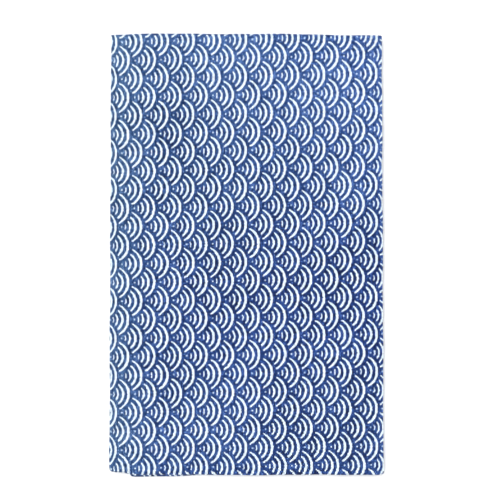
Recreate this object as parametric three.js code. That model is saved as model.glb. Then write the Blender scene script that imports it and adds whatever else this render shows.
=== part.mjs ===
// A tenugui, a long thin hand towel of plain-woven cotton, folded for the shelf. It is folded in
// three across its width, which makes a band of three plies, and the band is folded back and forth
// in five layers along its length. It lies flat with its printed face up.
//
// Millimetres. +Z is up and +Y points to the top edge of the face. The origin is at the centre of
// the underside.

import * as THREE from 'three';

// Driving dimensions
const foldedWidth = 110.4;
const foldedLength = 178.6;
const pliesInBand = 3;
const plyThickness = 0.41;
const gapBetweenLayers = 0.35;

// How the pressed packet departs from a plain brick
const widthGainAtBottom = 0.7;
const sideDroop = 0.5;
const leftDroopWidth = 3.0;
const rightDroopWidth = 2.0;
const cornerRounding = 0.9;
const swellHeight = 0.22;
const swellLength = 150;

// The layers from the face down, and how far each side edge stands out past the folded width
const layers = [
  { left: 0.0, right: 0.0 },
  { left: -0.5, right: -0.3 },
  { left: -0.2, right: -0.6 },
  { left: -0.7, right: -0.2 },
  { left: -0.4, right: -0.5 },
];

// The ends of the layers in the order in which the cloth runs, and how far each stands out past
// the folded length at four places across: the left corner, the shoulder beside it, the middle
// and the right corner
const ends = [
  { name: 'cut end above the face', corner: -0.3, shoulder: 0.0, middle: 0.0, right: -0.6 },
  { name: 'first turn, at the bottom', corner: -1.4, shoulder: -0.1, middle: 0.0, right: -0.5 },
  { name: 'second turn, at the top', corner: -0.9, shoulder: -0.5, middle: -0.4, right: -0.8 },
  { name: 'third turn, at the bottom', corner: -1.5, shoulder: 0.6, middle: -0.3, right: -0.1 },
  { name: 'fourth turn, at the top', corner: -0.9, shoulder: -0.8, middle: -0.6, right: -1.0 },
  { name: 'cut end at the back', corner: -1.7, shoulder: -0.9, middle: -1.1, right: -1.4 },
];
const shoulderAcross = -0.84;

// How finely the surface is divided
const stepsAlongLayer = 10;
const stepsRoundTurn = 8;
const stepsAcross = 13;
const stepsOnEdge = 2;

// Sizes that follow
const bandThickness = pliesInBand * plyThickness;
const layerPitch = bandThickness + gapBetweenLayers;
const turnRadius = layerPitch / 2;
const turnCentreY = foldedLength / 2 - turnRadius - bandThickness / 2;
const packetHeight = bandThickness + (layers.length - 1) * layerPitch;

const dyedCotton = new THREE.MeshStandardMaterial({ color: 0x3a5a9c, roughness: 0.9, metalness: 0 });

const { lerp, smoothstep } = THREE.MathUtils;

// The height of the middle of a layer, counted from the face down
function layerHeight(index) {
  return bandThickness / 2 + (layers.length - 1 - index) * layerPitch;
}

// Places along the run of the cloth. Each has a point (y, z) on the middle of the band, the
// direction (faceY, faceZ) in which the band's printed face looks there, its depth in the stack
// counted in layers, and the two ends between which it lies: the one above the middle of the
// packet and the one below.
function runOfCloth() {
  const places = [];
  for (let index = 0; index < layers.length; index += 1) {
    const heading = index % 2 === 0 ? -1 : 1;
    const looksUp = -heading;
    const isFirst = index === 0;
    const isLast = index === layers.length - 1;
    const topEnd = heading < 0 ? index : index + 1;
    const bottomEnd = heading < 0 ? index + 1 : index;
    const start = -heading * (isFirst ? foldedLength / 2 : turnCentreY);
    const finish = heading * (isLast ? foldedLength / 2 : turnCentreY);
    const height = layerHeight(index);
    for (let step = 0; step <= stepsAlongLayer; step += 1) {
      const y = lerp(start, finish, step / stepsAlongLayer);
      places.push({ y, z: height, faceY: 0, faceZ: looksUp, depth: index, topEnd, bottomEnd });
    }
    if (isLast) {
      break;
    }
    for (let step = 1; step < stepsRoundTurn; step += 1) {
      const turned = Math.PI * step / stepsRoundTurn;
      const outY = heading * Math.sin(turned);
      const outZ = Math.cos(turned);
      places.push({
        y: heading * turnCentreY + turnRadius * outY,
        z: height - turnRadius + turnRadius * outZ,
        faceY: looksUp * outY,
        faceZ: looksUp * outZ,
        depth: index + step / stepsRoundTurn,
        topEnd: index + 1,
        bottomEnd: index + 1,
      });
    }
  }
  return places;
}

// The section of the band as a ring of points: its upper half from left to right, then its lower
// half back again. across runs from -1 to 1 over the flat part, bulge is how far the round edge
// stands out past that, and lift is the place in the thickness, both in half thicknesses.
function bandSection() {
  const leftEdge = [];
  for (let step = 0; step < stepsOnEdge; step += 1) {
    const angle = Math.PI * (step + 0.5) / (2 * stepsOnEdge + 1);
    leftEdge.push({ across: -1, bulge: -Math.cos(angle), lift: Math.sin(angle) });
  }
  const flat = [];
  for (let step = 0; step <= stepsAcross; step += 1) {
    flat.push({ across: -Math.cos(Math.PI * step / stepsAcross), bulge: 0, lift: 1 });
  }
  const rightEdge = leftEdge.map((point) => ({ ...point, across: 1, bulge: -point.bulge })).reverse();
  const upper = [...leftEdge, ...flat, ...rightEdge];
  const lower = upper.map((point) => ({ ...point, lift: -point.lift })).reverse();
  return [...upper, ...lower];
}

// How far an end of a layer stands out at a place across, from -1 at the left to 1 at the right
function endReach(end, across) {
  let reach = lerp(end.corner, end.shoulder, smoothstep(across, -1, shoulderAcross));
  reach = lerp(reach, end.middle, smoothstep(across, shoulderAcross, 0));
  reach = lerp(reach, end.right, smoothstep(across, 0, 1));
  return reach - cornerRounding * across ** 30;
}

// A quantity of the layers at a depth that may lie between two of them
function atDepth(column, depth) {
  const above = Math.floor(depth);
  const below = Math.min(above + 1, layers.length - 1);
  return lerp(layers[above][column], layers[below][column], depth - above);
}

// The loose swell of the packet's upper side, less its droop towards the two side edges
function swell(x, y) {
  const lengthwise = Math.cos(2 * Math.PI * (y - 0.2 * x) / swellLength);
  const crosswise = Math.sin(2 * Math.PI * (x + 0.3 * y + 20) / swellLength * 1.6);
  const inFromLeft = Math.max(0, 1 - (x + foldedWidth / 2) / leftDroopWidth);
  const inFromRight = Math.max(0, 1 - (foldedWidth / 2 - x) / rightDroopWidth);
  const droop = sideDroop * (Math.min(inFromLeft, 1) ** 2 + Math.min(inFromRight, 1) ** 2);
  return swellHeight * (lengthwise + crosswise) / 2 - droop;
}

// One point of the surface: a ring point carried to a place along the run, then moved with the
// uneven edges and ends, and lifted by the swell in proportion to its height above the underside
function surfacePoint(place, ringPoint) {
  const halfThickness = bandThickness / 2;
  const halfWidth = foldedWidth / 2 - widthGainAtBottom * place.y / foldedLength;
  const left = -halfWidth - atDepth('left', place.depth) + halfThickness;
  const right = halfWidth + atDepth('right', place.depth) - halfThickness;
  const x = lerp(left, right, (ringPoint.across + 1) / 2) + ringPoint.bulge * halfThickness;
  const flatY = place.y + ringPoint.lift * halfThickness * place.faceY;
  const flatZ = place.z + ringPoint.lift * halfThickness * place.faceZ;
  const side = Math.sign(place.y);
  const end = ends[side > 0 ? place.topEnd : place.bottomEnd];
  const nearness = Math.min(1, Math.abs(place.y) / turnCentreY) ** 3;
  const y = flatY + side * nearness * endReach(end, ringPoint.across);
  const z = flatZ * (1 + swell(x, y) / packetHeight);
  return [x, y, z];
}

// The closed surface of the band carried along the whole run
function foldedBand() {
  const places = runOfCloth();
  const ring = bandSection();
  const count = ring.length;
  const positions = places.flatMap((place) => ring.flatMap((point) => surfacePoint(place, point)));
  const triangles = [];
  const addQuad = (a, b, c, d) => triangles.push(a, c, b, a, d, c);
  for (let i = 0; i + 1 < places.length; i += 1) {
    for (let j = 0; j < count; j += 1) {
      const next = (j + 1) % count;
      addQuad(i * count + j, i * count + next, (i + 1) * count + next, (i + 1) * count + j);
    }
  }
  const lastRing = (places.length - 1) * count;
  for (let j = 0; j + 1 < count / 2; j += 1) {
    addQuad(j, count - 1 - j, count - 2 - j, j + 1);
    addQuad(lastRing + j, lastRing + j + 1, lastRing + count - 2 - j, lastRing + count - 1 - j);
  }
  const geometry = new THREE.BufferGeometry();
  geometry.setAttribute('position', new THREE.Float32BufferAttribute(positions, 3));
  geometry.setIndex(triangles);
  return geometry;
}

// The underside is at z = 0 and the outline is centred on the origin
function centred(geometry) {
  geometry.computeBoundingBox();
  const { min, max } = geometry.boundingBox;
  return geometry.translate(-(min.x + max.x) / 2, -(min.y + max.y) / 2, -min.z);
}

const towel = new THREE.Group();
towel.name = 'folded_tenugui';

const cloth = new THREE.Mesh(centred(foldedBand()), dyedCotton);
cloth.name = 'towel_cloth';
towel.add(cloth);

export default towel;
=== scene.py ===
import math

import bpy
import numpy as np
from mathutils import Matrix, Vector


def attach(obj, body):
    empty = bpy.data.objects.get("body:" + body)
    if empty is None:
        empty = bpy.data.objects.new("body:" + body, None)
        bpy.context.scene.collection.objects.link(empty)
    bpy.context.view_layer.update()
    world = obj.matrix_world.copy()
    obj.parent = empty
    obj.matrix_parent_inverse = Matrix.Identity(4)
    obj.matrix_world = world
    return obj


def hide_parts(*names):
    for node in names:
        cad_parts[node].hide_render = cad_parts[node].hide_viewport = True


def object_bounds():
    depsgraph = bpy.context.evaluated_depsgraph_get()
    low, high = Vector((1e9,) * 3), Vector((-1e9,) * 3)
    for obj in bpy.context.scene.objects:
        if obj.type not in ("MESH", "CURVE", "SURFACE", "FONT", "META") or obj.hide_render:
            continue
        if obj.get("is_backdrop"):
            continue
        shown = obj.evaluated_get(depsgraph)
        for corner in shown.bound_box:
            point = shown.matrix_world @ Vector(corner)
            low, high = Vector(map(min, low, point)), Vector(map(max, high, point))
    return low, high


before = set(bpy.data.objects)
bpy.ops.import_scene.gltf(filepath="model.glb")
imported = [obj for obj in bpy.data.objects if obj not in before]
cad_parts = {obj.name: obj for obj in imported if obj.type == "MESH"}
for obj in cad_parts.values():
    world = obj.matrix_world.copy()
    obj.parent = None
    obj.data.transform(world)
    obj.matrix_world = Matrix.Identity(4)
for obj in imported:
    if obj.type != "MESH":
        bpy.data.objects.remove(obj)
cad_low, cad_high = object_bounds()

# The cloth: one length of narrow plain-woven cotton, cut off at both ends and never hemmed, with
# its two selvedges left as woven. It is folded in three across its width and then back and forth
# in five layers along its length, printed side out, and pressed flat. Sizes are in millimetres.

folded_width = 110.4
folded_length = 178.6
cloth_width = 328.6
ply_count = 3
ply_thickness = 0.38
ply_pitch = 0.45
pressed_ply = 0.41
layer_pitch = 1.58
layer_count = 5
outer_flap_width = 107.6

width_gain_at_bottom = 0.7
side_droop = 0.5
left_droop_width = 3.0
right_droop_width = 2.0
corner_rounding = 0.5
corner_sharpness = 90
swell_height = 0.22
swell_length = 150.0
swell_slant = 0.2
cross_swell_length = 93.75
cross_swell_slant = 0.3
cross_swell_start = 20.0

# Where the end of a layer steps from its left corner to the shoulder, from -1 at the left to 1
corner_across = -0.885
shoulder_across = -0.842

# How far the side folds of each layer stand out past the folded width, from the face down
left_reach = [0.0, -0.5, -0.2, -0.7, -0.4]
right_reach = [0.0, -0.3, -0.6, -0.2, -0.5]

# How far each end stands out past the folded length, in the order in which the cloth runs: at the
# left corner, at the shoulder beside it, in the middle and at the right corner
end_reach = np.array([
    (-0.3, 0.0, 0.0, -0.6),
    (-1.15, -0.1, 0.0, -0.1),
    (-0.9, -0.5, -0.4, -0.8),
    (-1.2, 1.0, -0.2, 0.0),
    (-0.9, -0.8, -0.6, -1.0),
    (-1.7, -0.9, -1.1, -1.4),
])

# The sizes that follow from those. The band takes the room of its pressed plies
band_half = ply_count * pressed_ply / 2
turn_radius = layer_pitch / 2
left_fold_radius = ply_pitch
right_fold_radius = ply_pitch / 2
left_fold_length = math.pi * left_fold_radius
right_fold_length = math.pi * right_fold_radius
face_width = folded_width - left_fold_radius - right_fold_radius - ply_thickness
middle_flap_width = cloth_width - outer_flap_width - left_fold_length - face_width - right_fold_length
turn_length = math.pi * turn_radius
cut_end_y = folded_length / 2
turn_centre_y = cut_end_y - turn_radius - band_half
packet_height = 2 * band_half + (layer_count - 1) * layer_pitch
layer_lengths = [
    cut_end_y + turn_centre_y if index in (0, layer_count - 1) else 2 * turn_centre_y
    for index in range(layer_count)
]
cloth_length = sum(layer_lengths) + (layer_count - 1) * turn_length


def smooth(value, low, high):
    """Goes from 0 at low to 1 at high along the cubic 3t^2 - 2t^3."""
    share = np.clip((value - low) / (high - low), 0, 1)
    return share * share * (3 - 2 * share)


def fold_across(u):
    """Where the thread at distance u from the first selvedge lies in the section of the band.

    The outer flap runs to the left, the left fold turns it by pi on radius ply_pitch, the face ply
    runs to the right, and the right fold turns it by pi again on half that radius, so that the
    middle flap ends inside the left fold. Gives the share across the face ply, the distance past
    it sideways, the place in the band's thickness, and the way in which the printed side looks.
    """
    walked = u - outer_flap_width
    left_turn = np.clip(walked, 0, left_fold_length) / left_fold_radius
    walked = walked - left_fold_length
    face_walk = np.clip(walked, 0, face_width)
    walked = walked - face_width
    right_turn = np.clip(walked, 0, right_fold_length) / right_fold_radius
    middle_walk = np.clip(walked - right_fold_length, 0, None)
    outer_walk = np.clip(outer_flap_width - u, 0, None)
    share = (outer_walk + face_walk - middle_walk) / face_width
    sideways = right_fold_radius * np.sin(right_turn) - left_fold_radius * np.sin(left_turn)
    lift = -left_fold_radius * np.cos(left_turn) - right_fold_radius * (1 - np.cos(right_turn))
    turned = left_turn + right_turn
    return share, sideways, lift, -np.sin(turned), -np.cos(turned)


def fold_along(s):
    """Where the thread at distance s from the cut end above the face lies along the folded run.

    Each layer runs straight for its length, towards the bottom of the face where its number is
    even and back where it is odd, and each turn bends it by pi on turn_radius: y moves by the
    radius times the sine of the bend and z down by the radius times one less the cosine. Gives y,
    z, the way (y, z) in which the printed side of the face ply looks, and the depth in layers,
    which is rounded so that a whole layer is a whole number.
    """
    y = np.full_like(s, cut_end_y)
    z = np.full_like(s, packet_height - band_half)
    bend = np.zeros_like(s)
    depth = np.zeros_like(s)
    start = 0.0
    for index, length in enumerate(layer_lengths):
        heading = 1 if index % 2 else -1
        y = y + heading * np.clip(s - start, 0, length)
        start += length
        if index < layer_count - 1:
            turned = np.clip(s - start, 0, turn_length) / turn_radius
            y = y + heading * turn_radius * np.sin(turned)
            z = z - turn_radius * (1 - np.cos(turned))
            bend = bend - heading * turned
            depth = depth + turned / math.pi
            start += turn_length
    return y, z, -np.sin(bend), np.cos(bend), np.round(depth, 6)


def reach_of_end(end, across):
    """How far the ends numbered in end stand out, at places across from -1 at the left to 1."""
    corner, shoulder, middle, right = np.moveaxis(end_reach[end], -1, 0)
    reach = corner + (shoulder - corner) * smooth(across, corner_across, shoulder_across)
    reach = reach + (middle - reach) * smooth(across, shoulder_across, 0)
    reach = reach + (right - reach) * smooth(across, 0, 1)
    return reach - corner_rounding * across**corner_sharpness


def swell(x, y):
    """The loose swell of the packet's upper side: a cosine along it and a sine across it, less the
    square of how far a place lies inside either droop strip at the sides."""
    lengthwise = np.cos(2 * math.pi * (y - swell_slant * x) / swell_length)
    cross_walk = x + cross_swell_slant * y + cross_swell_start
    crosswise = np.sin(2 * math.pi * cross_walk / cross_swell_length)
    from_left = np.clip(1 - (x + folded_width / 2) / left_droop_width, 0, 1)
    from_right = np.clip(1 - (folded_width / 2 - x) / right_droop_width, 0, 1)
    return swell_height * (lengthwise + crosswise) / 2 - side_droop * (from_left**2 + from_right**2)


# What the hand and the press leave: each layer's folds wander a little, each layer has slack of
# its own, and the face ply has shallow ripples and fine puckers where it goes over a fold
fold_wander = 0.16
layer_slack = 0.10
ripple_height = 0.24
pucker_height = 0.11

# The two waves in which a fold wanders, with the shift from one fold to the next, in radians, and
# the share that each wave has. The left folds are numbered from 0, the others from these
wander_waves = [
    {"length": 47.0, "shift": 1.9, "share": 0.65},
    {"length": 17.0, "shift": 3.1, "share": 0.35},
]
first_right_fold = 7
first_end_fold = 3

# The waves of the slack: how fast they run across and along the packet, and the shift from one
# layer to the next
slack_across = 0.6
slack_along = 0.5
slack_shift = 2.3

# How far the ripples take to rise from the left fold, to die away at the right fold, and to die
# away before the first turn
ripple_ramp = 4.0
turn_ramp = 3.0

ripple_count = 16
shortest_ripple = 17
longest_ripple = 58
ripple_gain = 4
ripple_bend = 3
dice = np.random.default_rng(19)
ripple_turns = dice.uniform(0, 2 * math.pi, ripple_count)
ripple_lengths = dice.uniform(shortest_ripple, longest_ripple, ripple_count)
ripple_phases = dice.uniform(0, 2 * math.pi, ripple_count)

# The puckers at the ends and at the sides of the face: how far in from the edge they stand highest,
# how soon they die away, how far apart they are, and how unevenly they are spaced
end_puckers = {"inset": 3.0, "reach": 3.5, "spacing": 9.3, "stray": 1.3, "stray_length": 7.0}
side_puckers = {"inset": 3.0, "reach": 3.0, "spacing": 12.1, "stray": 1.7, "stray_length": 9.0}


def wander(along, number):
    """A long and a short sine, each shifted by the number of the fold, as a share from -1 to 1."""
    return sum(
        wave["share"] * np.sin(2 * math.pi * along / wave["length"] + wave["shift"] * number)
        for wave in wander_waves
    )


def ripples(x, y):
    """Sines of seeded lengths and directions, each with a height in proportion to its length, added
    up and bent softly level where they go down, so that the ply rises from the one under it: the
    logarithm of one more than e to the power of ripple_bend times their sum, over ripple_bend."""
    total = 0.0
    for turn, length, phase in zip(ripple_turns, ripple_lengths, ripple_phases):
        walk = x * np.cos(turn) + y * np.sin(turn)
        total = total + length * np.sin(2 * math.pi * walk / length + phase)
    total = total / ripple_lengths.sum() * ripple_gain
    return ripple_height * np.log1p(np.exp(ripple_bend * total)) / ripple_bend


def pucker_row(kind, from_edge, along):
    """One row of puckers: a bell curve of the distance from the edge, times one more than a sine
    along the edge, whose phase strays with a slower sine."""
    bell = np.exp(-((from_edge - kind["inset"]) / kind["reach"]) ** 2)
    stray = kind["stray"] * np.sin(along / kind["stray_length"])
    return bell * (1 + np.sin(2 * math.pi * along / kind["spacing"] + stray))


def puckers(x, y):
    """The puckers that run out from the ends and the sides of the face."""
    at_end = pucker_row(end_puckers, cut_end_y - np.abs(y), x)
    at_side = pucker_row(side_puckers, folded_width / 2 - np.abs(x), y)
    return pucker_height * (at_end + at_side) / 2


def nearness_of_end(run_y):
    """How near a place on the run is to the end of its layer: the cube of its share of the way
    there from the middle, and 1 in the turn."""
    return np.minimum(1, np.abs(run_y) / turn_centre_y) ** 3


def cloth_point(u, s, side):
    """The place in millimetres of the cloth at u across and s along, which may be whole grids.

    side is 1 on the printed side and -1 on the reverse. The section is carried along the run, its
    share across is stretched between the two side folds of its layer, the ends are moved out by
    their reach, and the height is scaled up by the swell. The face ply rises by its own ripples.
    The ends at the top of the face have the even numbers and those at the bottom the odd ones.
    """
    share, sideways, lift, out_x, out_lift = fold_across(u)
    run_y, run_z, face_y, face_z, depth = fold_along(s)
    layers = np.arange(layer_count)
    half_width = folded_width / 2 - width_gain_at_bottom * run_y / folded_length
    left_wander = fold_wander * wander(run_y, depth)
    right_wander = fold_wander * wander(run_y, depth + first_right_fold)
    left = -half_width - np.interp(depth, layers, left_reach) - left_wander
    right = half_width + np.interp(depth, layers, right_reach) + right_wander
    left = left + left_fold_radius + ply_thickness / 2
    right = right - right_fold_radius - ply_thickness / 2
    x = left + (right - left) * share + sideways + side * ply_thickness / 2 * out_x
    lift = lift + side * ply_thickness / 2 * out_lift
    across = np.clip(2 * x / folded_width, -1, 1)
    end = np.where(run_y > 0, 2 * np.ceil(depth / 2), 2 * np.floor(depth / 2) + 1).astype(int)
    reach = reach_of_end(end, across) + fold_wander * wander(x, end + first_end_fold)
    y = run_y + lift * face_y + np.sign(run_y) * nearness_of_end(run_y) * reach
    slack = layer_slack * wander(slack_across * x + slack_along * run_y, slack_shift * depth)
    slack = slack * np.clip(layer_count - 1 - depth, 0, 1)
    z = (run_z + slack + lift * face_z) * (1 + swell(x, y) / packet_height)
    face_start = outer_flap_width + left_fold_length
    flap_start = cloth_width - middle_flap_width
    loose = smooth(u, face_start, face_start + ripple_ramp)
    loose = loose * (1 - smooth(u, flap_start - ripple_ramp, flap_start))
    loose = loose * (1 - smooth(s, layer_lengths[0] - turn_ramp, layer_lengths[0]))
    return x, y, z + loose * (ripples(x, y) + puckers(x, y))


def stations(stretches):
    """The ends of equal steps along a chain of stretches, each given as (length, steps)."""
    places = [0.0]
    for length, steps in stretches:
        places.extend(places[-1] + length * np.arange(1, steps + 1) / steps)
    return np.array(places)


def stretch_numbers(stretches):
    """For each step along the chain, the number of the stretch that it is in."""
    return np.repeat(np.arange(len(stretches)), [steps for _, steps in stretches])


# A metre in millimetres
metre = 1000

# The cloth's grid: the stretches across it and along it, each with its length and the number of
# steps in it, which are finest on the face and in the folds
layer_steps = (114, 34, 30, 34, 52)
turn_steps = 12
across_stretches = [
    (outer_flap_width, 28),
    (left_fold_length, 8),
    (face_width, 74),
    (right_fold_length, 6),
    (middle_flap_width, 12),
]
along_stretches = []
for index, (length, steps) in enumerate(zip(layer_lengths, layer_steps)):
    along_stretches.append((length, steps))
    if index < layer_count - 1:
        along_stretches.append((turn_length, turn_steps))
u_stations = stations(across_stretches)
s_stations = stations(along_stretches)
u_grid, s_grid = np.meshgrid(u_stations, s_stations)
row_count, column_count = u_grid.shape
printed_side = np.stack(cloth_point(u_grid, s_grid, 1), -1).reshape(-1, 3)
reverse_side = np.stack(cloth_point(u_grid, s_grid, -1), -1).reshape(-1, 3)
points = np.concatenate([printed_side, reverse_side]) / metre
low, high = points.min(0), points.max(0)
cad_middle = (np.array(cad_low) + np.array(cad_high)) / 2
shift = np.array([*(cad_middle - (low + high) / 2)[:2], cad_low[2] - low[2]])
points = points + shift

number = np.arange(row_count * column_count).reshape(row_count, column_count)
under = number + row_count * column_count


def strip(first, second):
    """Four-sided faces between two lines of points, from the first line to the second."""
    return np.stack([first[:-1], first[1:], second[1:], second[:-1]], -1).reshape(-1, 4)


cells = np.stack([number[:-1, :-1], number[:-1, 1:], number[1:, 1:], number[1:, :-1]], -1)
print_faces = cells.reshape(-1, 4)[:, ::-1]
reverse_faces = cells.reshape(-1, 4) + row_count * column_count
edge_faces = np.concatenate([
    strip(number[0], under[0]),
    strip(under[-1], number[-1]),
    strip(under[:, 0], number[:, 0]),
    strip(number[:, -1], under[:, -1]),
])
faces = np.concatenate([print_faces, reverse_faces, edge_faces])

cloth_mesh = bpy.data.meshes.new("tenugui_sheet")
cloth_mesh.from_pydata(points, [], faces)
smooth_faces = np.ones(len(faces), bool)
smooth_faces[len(print_faces) + len(reverse_faces):] = False
cloth_mesh.polygons.foreach_set("use_smooth", smooth_faces)
cloth_mesh.update()
cloth = bpy.data.objects.new("tenugui_sheet", cloth_mesh)
bpy.context.scene.collection.objects.link(cloth)

# How pressing has drawn the cloth on the face out of square: its threads climb to the right and
# lie slightly closer towards the edges, and the rolled sides take in a little more cloth than a
# flat ply would. In millimetres, from the middle of the face
climb_to_right = 1.04
climb_gain_at_top = 0.22
lean_to_top = 0.05
stretch_along = 0.17
stretch_across = -0.06
drawn_in_across = -0.12
drawn_in_across_at_ends = -0.20
drawn_in_along_at_ends = -0.18
left_roll_take = 0.75
left_roll_width = 1.35
right_roll_take = 0.5
right_roll_width = 0.9
# The distances over which those pulls are reached, and how many of the first the pull goes on for
half_across = 55.0
half_along = 89.0
pull_limit = 3


def thread_place(u, s):
    """Where the cloth at u and s was on the loom, in millimetres: its own u and s, moved by the
    pull of the press, which is a plane, three squares and a product of the place on the face, by
    the share of the face's gain in width, and by what each side roll takes, which dies away as a
    power of e. Where an end of the face layer stands in or out, the fold lies at another thread."""
    from_left = u - outer_flap_width - left_fold_length
    from_right = face_width - from_left
    face_x = np.clip((from_left - face_width / 2) / half_across, -pull_limit, pull_limit)
    face_y = np.clip((cut_end_y - s) / half_along, -1, 1)
    fade = np.exp(-np.clip(np.abs(face_x) - 1, 0, None) ** 2)
    pull_u = lean_to_top * face_y + stretch_across * face_x
    pull_u = pull_u + fade * (drawn_in_across * face_x**2 + drawn_in_across_at_ends * face_y**2)
    pull_u = pull_u - fade * width_gain_at_bottom / 2 * face_x * face_y
    pull_u = pull_u - left_roll_take * np.exp(-np.clip(from_left, 0, None) / left_roll_width)
    pull_u = pull_u + right_roll_take * np.exp(-np.clip(from_right, 0, None) / right_roll_width)
    pull_s = climb_to_right * face_x + stretch_along * face_y
    pull_s = pull_s + fade * (climb_gain_at_top * face_x * face_y + drawn_in_along_at_ends * face_y**2)
    run_y, _, _, _, depth = fold_along(s)
    # The face layer, the turn at its end, and the half of the next layer that is nearest to it
    near_face = (depth <= 1) & ((run_y < 0) | (depth < 0.5))
    end = np.where(run_y > 0, 0, 1)
    reach = reach_of_end(end, np.clip(2 * from_left / face_width - 1, -1, 1))
    pull_s = pull_s - near_face * np.sign(run_y) * nearness_of_end(run_y) * reach
    return u + pull_u, s + pull_s


corner_points = faces.ravel()
corner_cells = corner_points % (row_count * column_count)
thread_u, thread_s = thread_place(u_grid.ravel(), s_grid.ravel())
cloth_uv = np.stack([thread_u, thread_s], -1)[corner_cells] / metre
cloth_layer = cloth_mesh.uv_layers.new(name="cloth")
cloth_layer.data.foreach_set("uv", cloth_uv.ravel())

# The same faces laid out flat once more, as a map that has room for each. The face of the towel
# has most of it, the underside comes next, and what lies inside the folds is small there. Each
# patch runs from its low corner to its high corner, in shares of the map.
face_patch = ((0.01, 0.01), (0.60, 0.985))
underside_patch = ((0.62, 0.01), (0.99, 0.66))
inner_print_patch = ((0.62, 0.68), (0.79, 0.985))
reverse_patch = ((0.815, 0.70), (0.97, 0.965))
first_end_strip = ((0.815, 0.685), (0.97, 0.695))
last_end_strip = ((0.815, 0.970), (0.97, 0.980))
first_side_strip = ((0.800, 0.70), (0.810, 0.965))
last_side_strip = ((0.975, 0.70), (0.985, 0.965))
# How much room a fold has there for its length, and how much the other two plies have, against 1
# for the outer flap
fold_weight = 14
inner_weight = 0.4


def map_stations(stretches, weights):
    """The stations of a chain with each stretch weighted, as shares from 0 to 1."""
    weighted = [(length * weight, steps) for (length, steps), weight in zip(stretches, weights)]
    places = stations(weighted)
    return places / places[-1]


across_weights = [1, fold_weight, inner_weight, fold_weight, inner_weight]
along_weights = [fold_weight if index % 2 else 1 for index in range(len(along_stretches))]
loose_across = map_stations(across_stretches, across_weights)
loose_along = map_stations(along_stretches, along_weights)
column_of_step = stretch_numbers(across_stretches)
row_of_step = stretch_numbers(along_stretches)


def map_corners(cell_rows, cell_columns, places_across, places_along, low_corner, high_corner):
    """The map's four corners of each cell, between two corners of its own patch of the map."""
    span_across = places_across.max() - places_across.min()
    span_along = places_along.max() - places_along.min()
    rows = cell_rows[:, None] + np.array([0, 0, 1, 1])
    columns = cell_columns[:, None] + np.array([0, 1, 1, 0])
    across = (places_across[columns] - places_across.min()) / span_across
    along = (places_along[rows] - places_along.min()) / span_along
    low_across, low_along = low_corner
    high_across, high_along = high_corner
    return np.stack([
        low_across + (high_across - low_across) * across,
        low_along + (high_along - low_along) * along,
    ], -1)


cell_count = (row_count - 1) * (column_count - 1)
cell_rows, cell_columns = np.divmod(np.arange(cell_count), column_count - 1)
# The face is the first layer and its turn, from the left fold to the right fold, and the underside
# is the outer flap of the last layer
is_face = (row_of_step[cell_rows] <= 1) & np.isin(column_of_step[cell_columns], (1, 2, 3))
last_stretch = len(along_stretches) - 1
is_underside = (row_of_step[cell_rows] == last_stretch) & (column_of_step[cell_columns] == 0)
face_across = np.clip(u_stations, outer_flap_width, cloth_width - middle_flap_width)
face_along = np.clip(s_stations, 0, layer_lengths[0] + turn_length)
underside_across = np.clip(u_stations, 0, outer_flap_width)
underside_along = np.clip(s_stations, cloth_length - layer_lengths[-1], None)
print_map = map_corners(cell_rows, cell_columns, loose_across, loose_along, *inner_print_patch)
print_map[is_face] = map_corners(
    cell_rows[is_face], cell_columns[is_face], face_across, face_along, *face_patch
)
print_map[is_underside] = map_corners(
    cell_rows[is_underside], cell_columns[is_underside], underside_across, underside_along, *underside_patch
)
reverse_map = map_corners(cell_rows, cell_columns, loose_across, loose_along, *reverse_patch)


def map_strip(places, low_corner, high_corner, is_level):
    """The map's corners of an edge of the cloth, as a strip beside the reverse, level or upright."""
    low_across, low_along = low_corner
    high_across, high_along = high_corner
    first, second = places[:-1], places[1:]
    if is_level:
        across = low_across + (high_across - low_across) * np.stack([first, second, second, first], -1)
        along = np.tile([low_along, low_along, high_along, high_along], (len(first), 1))
    else:
        along = low_along + (high_along - low_along) * np.stack([first, second, second, first], -1)
        across = np.tile([low_across, low_across, high_across, high_across], (len(first), 1))
    return np.stack([across, along], -1)


edge_map = np.concatenate([
    map_strip(loose_across, *first_end_strip, is_level=True),
    map_strip(loose_across, *last_end_strip, is_level=True),
    map_strip(loose_along, *first_side_strip, is_level=False),
    map_strip(loose_along, *last_side_strip, is_level=False),
])
bake_uv = np.concatenate([print_map[:, ::-1], reverse_map, edge_map])
bake_layer = cloth_mesh.uv_layers.new(name="OFBake")
bake_layer.data.foreach_set("uv", bake_uv.ravel())


# The finish: undyed cotton printed through with deep blue, which leaves the arcs of the overlapping
# scales white. The dye stops at single threads, so the arcs have ragged edges, and it has taken
# unevenly, darker where a thread drank more. The cloth is matt with the relief of its plain weave.
# Its colour also holds painted light: painted shade between the threads, and painted glare, shade
# and sheen over the face.


def feed(tree, socket, source):
    """Links a node's input to a socket, or sets it where the source is a number."""
    if isinstance(source, bpy.types.NodeSocket):
        tree.links.new(source, socket)
    else:
        socket.default_value = source


def calc(tree, operation, first, second=0.0, third=0.0):
    """A Math node with that operation, fed by numbers or sockets; gives its output socket."""
    node = tree.nodes.new("ShaderNodeMath")
    node.operation = operation
    for socket, source in zip(node.inputs, (first, second, third)):
        feed(tree, socket, source)
    return node.outputs[0]


def product(tree, first, *others):
    """Sockets and numbers multiplied together."""
    total = first
    for factor in others:
        total = calc(tree, "MULTIPLY", total, factor)
    return total


def between(tree, share, at_zero, at_one):
    """Goes straight from one number to another as a socket goes from 0 to 1."""
    return calc(tree, "MULTIPLY_ADD", share, at_one - at_zero, at_zero)


def apart(tree, first, second):
    """How far two values lie apart."""
    return calc(tree, "ABSOLUTE", calc(tree, "SUBTRACT", first, second))


def distance(tree, x, y):
    """How far a place lies from the origin: the root of the sum of the squares of its x and y."""
    return calc(tree, "SQRT", calc(tree, "MULTIPLY_ADD", x, x, calc(tree, "MULTIPLY", y, y)))


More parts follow.
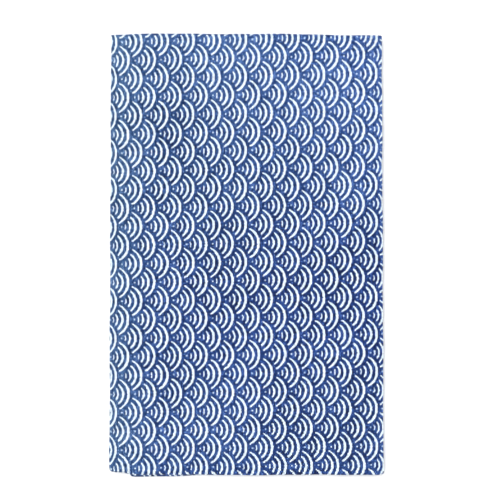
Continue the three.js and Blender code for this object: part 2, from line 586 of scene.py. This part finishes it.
def whole_pitches(tree, along, pitch):
    """How many whole pitches lie before a place: the place divided by the pitch, rounded down."""
    return calc(tree, "FLOOR", calc(tree, "DIVIDE", along, pitch))


def join(tree, x, y):
    """A vector of two sockets or numbers with no third part."""
    node = tree.nodes.new("ShaderNodeCombineXYZ")
    for socket, source in zip(node.inputs, (x, y)):
        feed(tree, socket, source)
    return node.outputs[0]


def part(tree, vector):
    """The x and y sockets of a vector socket."""
    node = tree.nodes.new("ShaderNodeSeparateXYZ")
    tree.links.new(vector, node.inputs[0])
    return node.outputs[0], node.outputs[1]


def ease(tree, value, low, high, to_low=0.0, to_high=1.0):
    """Maps a socket from low..high to to_low..to_high along a smooth step."""
    node = tree.nodes.new("ShaderNodeMapRange")
    node.interpolation_type = "SMOOTHSTEP"
    tree.links.new(value, node.inputs["Value"])
    node.inputs["From Min"].default_value = low
    node.inputs["From Max"].default_value = high
    node.inputs["To Min"].default_value = to_low
    node.inputs["To Max"].default_value = to_high
    return node.outputs[0]


def noise(tree, vector, scale):
    """A Noise texture on a vector socket, with one finer layer of detail; gives its value."""
    node = tree.nodes.new("ShaderNodeTexNoise")
    tree.links.new(vector, node.inputs["Vector"])
    node.inputs["Scale"].default_value = scale
    node.inputs["Detail"].default_value = 1.0
    return node.outputs["Fac"]


def new_group(name, takes, gives):
    """A shader node group with named sockets; gives its tree, input sockets and output node."""
    tree = bpy.data.node_groups.new(name, "ShaderNodeTree")
    for socket_name, kind in takes:
        tree.interface.new_socket(name=socket_name, in_out="INPUT", socket_type=kind)
    for socket_name, kind in gives:
        tree.interface.new_socket(name=socket_name, in_out="OUTPUT", socket_type=kind)
    entry = tree.nodes.new("NodeGroupInput")
    leave = tree.nodes.new("NodeGroupOutput")
    return tree, entry.outputs, leave


def use_group(tree, group, **sources):
    """Places a node group in a tree and feeds it; an underscore in a name stands for a space."""
    node = tree.nodes.new("ShaderNodeGroup")
    node.node_tree = group
    for name, source in sources.items():
        feed(tree, node.inputs[name.replace("_", " ")], source)
    return node.outputs


# The pattern's repeat in millimetres: columns of scales across the cloth, each half a row lower
# than the last, and every scale in front of the one to its right
column_pitch = 5.286
row_pitch = 15.0
half_row = row_pitch / 2
scale_radius = 8.256
stroke_softness = 0.05
# How far round from the crown of an arc its stroke is widest, in radians
stroke_lean = 0.085

# The arcs of one scale from the outside in: how far the centre lies back from the scale's own, the
# radius, the width of the stroke, how much it tapers to its ends, and how white it is
arcs = [
    {"back": 0.0, "radius": 6.457, "stroke": 1.03, "taper": 0.36, "white": 1.0},
    {"back": 0.62, "radius": 4.785, "stroke": 0.97, "taper": 0.37, "white": 1.0},
    {"back": 1.165, "radius": 3.195, "stroke": 0.81, "taper": 0.47, "white": 1.0},
    {"back": 1.97, "radius": 2.155, "stroke": 0.56, "taper": 0.9, "white": 0.98},
]
dot_back = 1.495
dot_radius = 0.36
dot_softness = 0.20
dot_white = 0.98
# The open place round each dot, where the dye lies thinner: full in to the first distance from the
# dot, none from the second
open_near = 0.8
open_far = 2.4
# Where the first scale's centre is, from the left fold of the face and from the cut end above it
first_scale_across = 0.89
first_scale_along = 9.74

arc_group, arc_in, arc_out = new_group(
    "wave_arc",
    [("Place", "NodeSocketVector"), ("Back", "NodeSocketFloat"), ("Radius", "NodeSocketFloat"),
     ("Stroke", "NodeSocketFloat"), ("Taper", "NodeSocketFloat"), ("White", "NodeSocketFloat"),
     ("Spread", "NodeSocketFloat")],
    [("Mask", "NodeSocketFloat")],
)
arc_x, arc_y = part(arc_group, arc_in["Place"])
arc_x = calc(arc_group, "ADD", arc_x, arc_in["Back"])
off_stroke = apart(arc_group, distance(arc_group, arc_x, arc_y), arc_in["Radius"])
round_angle = calc(arc_group, "SUBTRACT", calc(arc_group, "ARCTAN2", arc_y, arc_x), stroke_lean)
thinning = product(arc_group, round_angle, round_angle, arc_in["Taper"])
half_stroke = product(arc_group, arc_in["Stroke"], 0.5, calc(arc_group, "SUBTRACT", 1.0, thinning))
spread_stroke = calc(arc_group, "ADD", half_stroke, arc_in["Spread"])
inside_stroke = calc(arc_group, "SUBTRACT", spread_stroke, off_stroke)
on_stroke = ease(arc_group, inside_stroke, -stroke_softness, stroke_softness)
right_half = ease(arc_group, arc_x, -stroke_softness, stroke_softness)
arc_mask = product(arc_group, on_stroke, right_half, arc_in["White"])
arc_group.links.new(arc_mask, arc_out.inputs["Mask"])

scales_group, scales_in, scales_out = new_group(
    "wave_scales",
    [("Place", "NodeSocketVector"), ("Spread", "NodeSocketFloat")],
    [("Undyed", "NodeSocketFloat"), ("Open", "NodeSocketFloat")],
)


def whitest(tree, masks):
    """The largest of a list of mask sockets."""
    total = masks[0]
    for mask in masks[1:]:
        total = calc(tree, "MAXIMUM", total, mask)
    return total


def scale_print(tree, centre_x, centre_y, wanted_arcs):
    """The white strokes of one scale and whether a place is on it, from the place's own x and y."""
    place = join(tree, centre_x, centre_y)
    strokes = [
        use_group(tree, arc_group, Place=place, Back=arc["back"], Radius=arc["radius"],
                  Stroke=arc["stroke"], Taper=arc["taper"], White=arc["white"],
                  Spread=scales_in["Spread"])["Mask"]
        for arc in wanted_arcs
    ]
    inside_scale = calc(tree, "SUBTRACT", scale_radius, distance(tree, centre_x, centre_y))
    return whitest(tree, strokes), ease(tree, inside_scale, -stroke_softness, stroke_softness)


def over(tree, front, front_mask, back):
    """One value in front of another: the front where its mask is 1 and the back elsewhere."""
    lit = calc(tree, "MULTIPLY", front, front_mask)
    rest = calc(tree, "MULTIPLY", back, calc(tree, "SUBTRACT", 1.0, front_mask))
    return calc(tree, "ADD", lit, rest)


# A place is on the scale of its own column, on the one to its left in front of that, or on the one
# to its right behind it. Of the left one only the outermost arc reaches so far, and of the right
# one only the innermost shows
scales_x, scales_y = part(scales_group, scales_in["Place"])
column = whole_pitches(scales_group, scales_x, column_pitch)
here_x = calc(scales_group, "SUBTRACT", scales_x, calc(scales_group, "MULTIPLY", column, column_pitch))
column_parity = calc(scales_group, "FRACT", calc(scales_group, "MULTIPLY", column, 0.5))
half_drop = calc(scales_group, "MULTIPLY", column_parity, row_pitch)
dropped_y = calc(scales_group, "SUBTRACT", scales_y, half_drop)
dropped_beside = calc(scales_group, "ADD", dropped_y, half_row)
here_y = calc(scales_group, "WRAP", dropped_y, half_row, -half_row)
beside_y = calc(scales_group, "WRAP", dropped_beside, half_row, -half_row)
left_x = calc(scales_group, "ADD", here_x, column_pitch)
right_x = calc(scales_group, "SUBTRACT", here_x, column_pitch)
outermost_arc = arcs[:1]
innermost_arc = arcs[-1:]
left_strokes, left_mask = scale_print(scales_group, left_x, beside_y, outermost_arc)
here_strokes, here_mask = scale_print(scales_group, here_x, here_y, arcs)
right_strokes, _ = scale_print(scales_group, right_x, beside_y, innermost_arc)
behind_left = over(scales_group, here_strokes, here_mask, right_strokes)
strokes = over(scales_group, left_strokes, left_mask, behind_left)


def from_dot(tree, scale_x, scale_y):
    """How far a place lies from the dot of a scale, from its x and y in that scale."""
    return distance(tree, calc(tree, "ADD", scale_x, dot_back), scale_y)


dot_reach = from_dot(scales_group, right_x, beside_y)
inside_dot = calc(scales_group, "SUBTRACT", dot_radius, dot_reach)
dot = ease(scales_group, inside_dot, -dot_softness, dot_softness, 0.0, dot_white)
nearest_dot = calc(scales_group, "MINIMUM", dot_reach, from_dot(scales_group, here_x, here_y))
open_place = ease(scales_group, nearest_dot, open_near, open_far, 1.0, 0.0)
scales_group.links.new(calc(scales_group, "MAXIMUM", strokes, dot), scales_out.inputs["Undyed"])
scales_group.links.new(open_place, scales_out.inputs["Open"])

# The plain weave: every thread goes over one and under the next. The pitches in millimetres are
# those of coarse tenugui cotton, 49 threads to the inch across it and 45 along it
warp_pitch = 0.518
weft_pitch = 0.5625
# Each thread has its own thick and thin stretches, this long in millimetres. The noise that gives
# them is read this far apart for one thread and the next
slub_length = 4.0
thread_apart = 7.31
slub_scale = 1.0
# How round a thread's back is, as a power of a sine, and how far it rises and dips as a share of
# its own height
thread_roundness = 0.6
thread_crimp = 0.55

weave_group, weave_in, weave_out = new_group(
    "plain_weave",
    [("Place", "NodeSocketVector")],
    [("Height", "NodeSocketFloat"), ("Thread Shade", "NodeSocketFloat"), ("Warp Over", "NodeSocketFloat")],
)
weave_x, weave_y = part(weave_group, weave_in["Place"])
warp_wave = calc(weave_group, "SINE", calc(weave_group, "MULTIPLY", weave_x, math.pi / warp_pitch))
weft_wave = calc(weave_group, "SINE", calc(weave_group, "MULTIPLY", weave_y, math.pi / weft_pitch))


def thread_top(tree, own_wave, other_wave, crimp):
    """How high a thread's surface is: its round back across it, and its rise and dip along it."""
    back = calc(tree, "POWER", calc(tree, "ABSOLUTE", own_wave), thread_roundness)
    rise = calc(tree, "MULTIPLY", calc(tree, "SIGN", own_wave), other_wave)
    return calc(tree, "MULTIPLY_ADD", rise, crimp, back)


warp_top = thread_top(weave_group, warp_wave, weft_wave, thread_crimp)
weft_top = thread_top(weave_group, weft_wave, warp_wave, -thread_crimp)
warp_over = calc(weave_group, "GREATER_THAN", warp_top, weft_top)
highest_top = calc(weave_group, "MAXIMUM", warp_top, weft_top)
weave_height = calc(weave_group, "DIVIDE", highest_top, 1 + thread_crimp)
warp_number = whole_pitches(weave_group, weave_x, warp_pitch)
weft_number = whole_pitches(weave_group, weave_y, weft_pitch)
warp_place = join(
    weave_group,
    calc(weave_group, "MULTIPLY", warp_number, thread_apart),
    calc(weave_group, "DIVIDE", weave_y, slub_length),
)
weft_place = join(
    weave_group,
    calc(weave_group, "DIVIDE", weave_x, slub_length),
    calc(weave_group, "MULTIPLY", weft_number, thread_apart),
)
warp_slub = noise(weave_group, warp_place, slub_scale)
weft_slub = noise(weave_group, weft_place, slub_scale)
slub = over(weave_group, warp_slub, warp_over, weft_slub)
weave_group.links.new(weave_height, weave_out.inputs["Height"])
weave_group.links.new(slub, weave_out.inputs["Thread Shade"])
weave_group.links.new(warp_over, weave_out.inputs["Warp Over"])

# Colours as Blender takes them, with no gamma: the undyed cotton, and the powers by which one depth
# of dye takes away red, green and blue. Wherever the print is, more of the blue is left by the
# power of dye_glow, so that thinly dyed places keep a bright blue
undyed_cotton = (0.765, 0.875, 0.965)
dye_powers = (4.05, 3.00, 2.09)
dye_glow = 0.39
# A thread takes one colour where it lies on top, so the print keeps by this share to whole
# crossings of threads, and each crossing strays by up to the raggedness in millimetres. The white
# strokes are wider by warp_spread on the threads along the cloth and narrower on those across it
keeps_to_threads = 0.42
raggedness = 0.065
warp_spread = 0.036
# The places of the two side folds of the face, in millimetres across the cloth
left_fold_place = outer_flap_width + left_fold_length / 2
right_fold_place = outer_flap_width + left_fold_length + face_width + right_fold_length / 2

dyed_cotton = bpy.data.materials.new("dyed_cotton")
dyed_cotton.use_nodes = True
tree = dyed_cotton.node_tree
skin = next(node for node in tree.nodes if node.type == "BSDF_PRINCIPLED")
cloth_map = tree.nodes.new("ShaderNodeUVMap")
cloth_map.uv_map = "cloth"
map_x, map_y = part(tree, cloth_map.outputs["UV"])
place_x = calc(tree, "MULTIPLY", map_x, metre)
place_y = calc(tree, "MULTIPLY", map_y, metre)
place = join(tree, place_x, place_y)


def thread_middle(tree, along, pitch):
    """The middle of the thread that a place is on: the whole pitches before it and half a one."""
    middle = calc(tree, "ADD", whole_pitches(tree, along, pitch), 0.5)
    return calc(tree, "MULTIPLY", middle, pitch)


crossing_x = thread_middle(tree, place_x, warp_pitch)
crossing_y = thread_middle(tree, place_y, weft_pitch)
stray = tree.nodes.new("ShaderNodeTexWhiteNoise")
stray.noise_dimensions = "2D"
tree.links.new(join(tree, crossing_x, crossing_y), stray.inputs["Vector"])
stray_x, stray_y = part(tree, stray.outputs["Color"])


def printed_at(tree, own, crossing, stray_share):
    """Where one coordinate of the print is read: partly at the place and partly at its thread
    crossing, moved by the crossing's stray."""
    to_crossing = calc(tree, "SUBTRACT", crossing, own)
    kept = calc(tree, "MULTIPLY_ADD", to_crossing, keeps_to_threads, own)
    return calc(tree, "ADD", kept, between(tree, stray_share, -raggedness, raggedness))


read_x = printed_at(tree, place_x, crossing_x, stray_x)
read_y = printed_at(tree, place_y, crossing_y, stray_y)
print_x = calc(tree, "SUBTRACT", read_x, left_fold_place + first_scale_across)
print_y = calc(tree, "SUBTRACT", read_y, first_scale_along)
weave = use_group(tree, weave_group, Place=place)
spread = between(tree, weave["Warp Over"], -warp_spread, warp_spread)
scales = use_group(tree, scales_group, Place=join(tree, print_x, print_y), Spread=spread)

# How much dye the cloth has taken, as factors of the full depth, each pair from one end of a run to
# the other: along each thread, from crossing to crossing, from the threads across the cloth to
# those along it, over a millimetre, over a few centimetres, and in the open places of the pattern
noise_span = (0.30, 0.70)
thread_dye = (1.32, 0.72)
crossing_dye = (1.10, 0.90)
warp_dye = (1.085, 0.915)
fine_scale = 1.0
fine_dye = (1.10, 0.90)
broad_scale = 0.035
broad_dye = (1.06, 0.94)
open_dye = (1.0, 0.90)
# In the large the colour holds painted light rather than dye: painted shade deepest just below the
# middle of the face and to the right, painted glare palest towards the corner of the right fold and
# the first cut end, and painted sheen paler along both side folds. Places and widths are in
# millimetres of cloth
middle_place = 112.0
middle_reach = 70.0
middle_painted_shade = (1.07, 0.98)
side_span = (109.0, 219.0)
side_painted_shade = (0.95, 1.06)
corner_slope = 0.7
corner_span = (48.0, 110.0)
corner_painted_glare = (1.02, 0.78)
left_sheen_width = 26.0
left_painted_sheen = (0.80, 1.0)
right_sheen_width = 4.0
right_painted_sheen = (0.86, 1.0)

from_middle = apart(tree, place_y, middle_place)
from_left_fold = apart(tree, place_x, left_fold_place)
from_right_fold = apart(tree, place_x, right_fold_place)
towards_corner = calc(tree, "SUBTRACT", calc(tree, "MULTIPLY", place_x, corner_slope), place_y)
uptake_and_painted_light = product(
    tree,
    ease(tree, noise(tree, place, fine_scale), *noise_span, *fine_dye),
    between(tree, stray.outputs["Value"], *crossing_dye),
    ease(tree, weave["Thread Shade"], *noise_span, *thread_dye),
    between(tree, weave["Warp Over"], *warp_dye),
    ease(tree, noise(tree, place, broad_scale), *noise_span, *broad_dye),
    # These five factors paint light into the colour: painted glare, painted shade and painted sheen
    ease(tree, towards_corner, *corner_span, *corner_painted_glare),
    ease(tree, place_x, *side_span, *side_painted_shade),
    ease(tree, from_middle, 0.0, middle_reach, *middle_painted_shade),
    ease(tree, from_left_fold, 0.0, left_sheen_width, *left_painted_sheen),
    ease(tree, from_right_fold, 0.0, right_sheen_width, *right_painted_sheen),
    between(tree, scales["Open"], *open_dye),
)
printed = calc(tree, "SUBTRACT", 1.0, scales["Undyed"])
# The depth holds the dye and, over the face, the painted glare, shade and sheen
depth = calc(tree, "MULTIPLY", printed, uptake_and_painted_light)

# How much of the glow there is, which spreads as painted shade: least, and so greyest, by the left
# fold towards the first cut end, most just below the middle and to the right
glow_slope = 0.35
glow_span = (105.0, 235.0)
glow_from_corner = (0.72, 1.22)
glow_fold_width = 20.0
glow_from_fold = (0.45, 1.0)
glow_middle_reach = 60.0
glow_from_middle = (1.12, 0.86)

from_first_corner = calc(tree, "MULTIPLY_ADD", place_y, glow_slope, place_x)
glow_share_painted_shade = product(
    tree,
    ease(tree, from_first_corner, *glow_span, *glow_from_corner),
    ease(tree, from_left_fold, 0.0, glow_fold_width, *glow_from_fold),
    ease(tree, from_middle, 0.0, glow_middle_reach, *glow_from_middle),
)
glow = product(tree, printed, glow_share_painted_shade, dye_glow)

# How much light the threads give back beside their dye: less where a thread is thin, painted shade
# in the valleys between threads, and more on the threads along the cloth, partly their own tone and
# partly painted light. Heights are shares of the relief
thread_light = (0.785, 1.05)
valley_heights = (0.30, 0.85)
valley_painted_shade = (0.50, 1.10)
crossing_light = (0.94, 1.06)
warp_light = (0.87, 1.11)
rough_heights = (0.3, 1.0)
rough_range = (0.95, 0.84)
thread_relief = 0.08

shade = product(
    tree,
    ease(tree, weave["Thread Shade"], *noise_span, *thread_light),
    ease(tree, weave["Height"], *valley_heights, *valley_painted_shade),
    between(tree, stray.outputs["Value"], *crossing_light),
    between(tree, weave["Warp Over"], *warp_light),
)
colour = tree.nodes.new("ShaderNodeCombineColor")
glows = (0.0, 0.0, glow)
for socket, white, power, left_over in zip(colour.inputs, undyed_cotton, dye_powers, glows):
    given_back = calc(tree, "EXPONENT", calc(tree, "MULTIPLY_ADD", depth, -power, left_over))
    feed(tree, socket, product(tree, given_back, white, shade))
tree.links.new(colour.outputs[0], skin.inputs["Base Color"])
tree.links.new(ease(tree, weave["Height"], *rough_heights, *rough_range), skin.inputs["Roughness"])
skin.inputs["Specular IOR Level"].default_value = 0.25
skin.inputs["Sheen Weight"].default_value = 0.06
skin.inputs["Sheen Roughness"].default_value = 0.5
bump = tree.nodes.new("ShaderNodeBump")
bump.inputs["Strength"].default_value = 0.7
bump.inputs["Distance"].default_value = thread_relief / metre
tree.links.new(weave["Height"], bump.inputs["Height"])
tree.links.new(bump.outputs["Normal"], skin.inputs["Normal"])
cloth_mesh.materials.append(dyed_cotton)

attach(cloth, "root")
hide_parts("towel_cloth")

# The stage: a pale floor that runs out of sight, one broad soft lamp high above and slightly to the
# top left, and a white room around them. The camera looks straight down at the face. The floor lies
# a hair below the towel, so that no two surfaces coincide. Sizes are in metres.

stage_mesh = bpy.data.meshes.new("pale_floor")
floor_half = 30.0
floor_z = -0.00002
stage_mesh.from_pydata(
    [(-floor_half, -floor_half, floor_z), (floor_half, -floor_half, floor_z),
     (floor_half, floor_half, floor_z), (-floor_half, floor_half, floor_z)],
    [],
    [(0, 1, 2, 3)],
)
pale_floor = bpy.data.objects.new("pale_floor", stage_mesh)
bpy.context.scene.collection.objects.link(pale_floor)
floor_paint = bpy.data.materials.new("floor_paint")
floor_paint.use_nodes = True
floor_skin = next(node for node in floor_paint.node_tree.nodes if node.type == "BSDF_PRINCIPLED")
floor_skin.inputs["Base Color"].default_value = (0.93, 0.93, 0.93, 1)
floor_skin.inputs["Roughness"].default_value = 0.9
floor_skin.inputs["Specular IOR Level"].default_value = 0.2
stage_mesh.materials.append(floor_paint)
pale_floor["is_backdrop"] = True

room = bpy.data.worlds.new("white_room")
room.use_nodes = True
room.node_tree.nodes["Background"].inputs["Color"].default_value = (1.0, 1.0, 1.0, 1)
room.node_tree.nodes["Background"].inputs["Strength"].default_value = 0.55
bpy.context.scene.world = room

lamp_data = bpy.data.lights.new("key_lamp", "SUN")
lamp_data.energy = 2.65
lamp_data.angle = math.radians(20)
key_lamp = bpy.data.objects.new("key_lamp", lamp_data)
key_lamp.location = (-0.15, 0.18, 1.5)
key_lamp.rotation_euler = (-key_lamp.location).to_track_quat("-Z", "Y").to_euler()
bpy.context.scene.collection.objects.link(key_lamp)

# The photograph shows 202.2 mm across its 500 pixels, and its middle pixel lies this far from the
# middle of the towel, in metres
view_width = 0.2022
view_middle = (0.00142, 0.00227)
camera_height = 1.0
camera_data = bpy.data.cameras.new("camera")
camera_data.sensor_width = 36.0
camera_data.lens = camera_data.sensor_width * camera_height / view_width
camera = bpy.data.objects.new("camera", camera_data)
camera.location = (*view_middle, camera_height + cad_high[2])
bpy.context.scene.collection.objects.link(camera)
bpy.context.scene.camera = camera
bpy.context.scene.view_settings.view_transform = "Standard"

low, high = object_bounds()
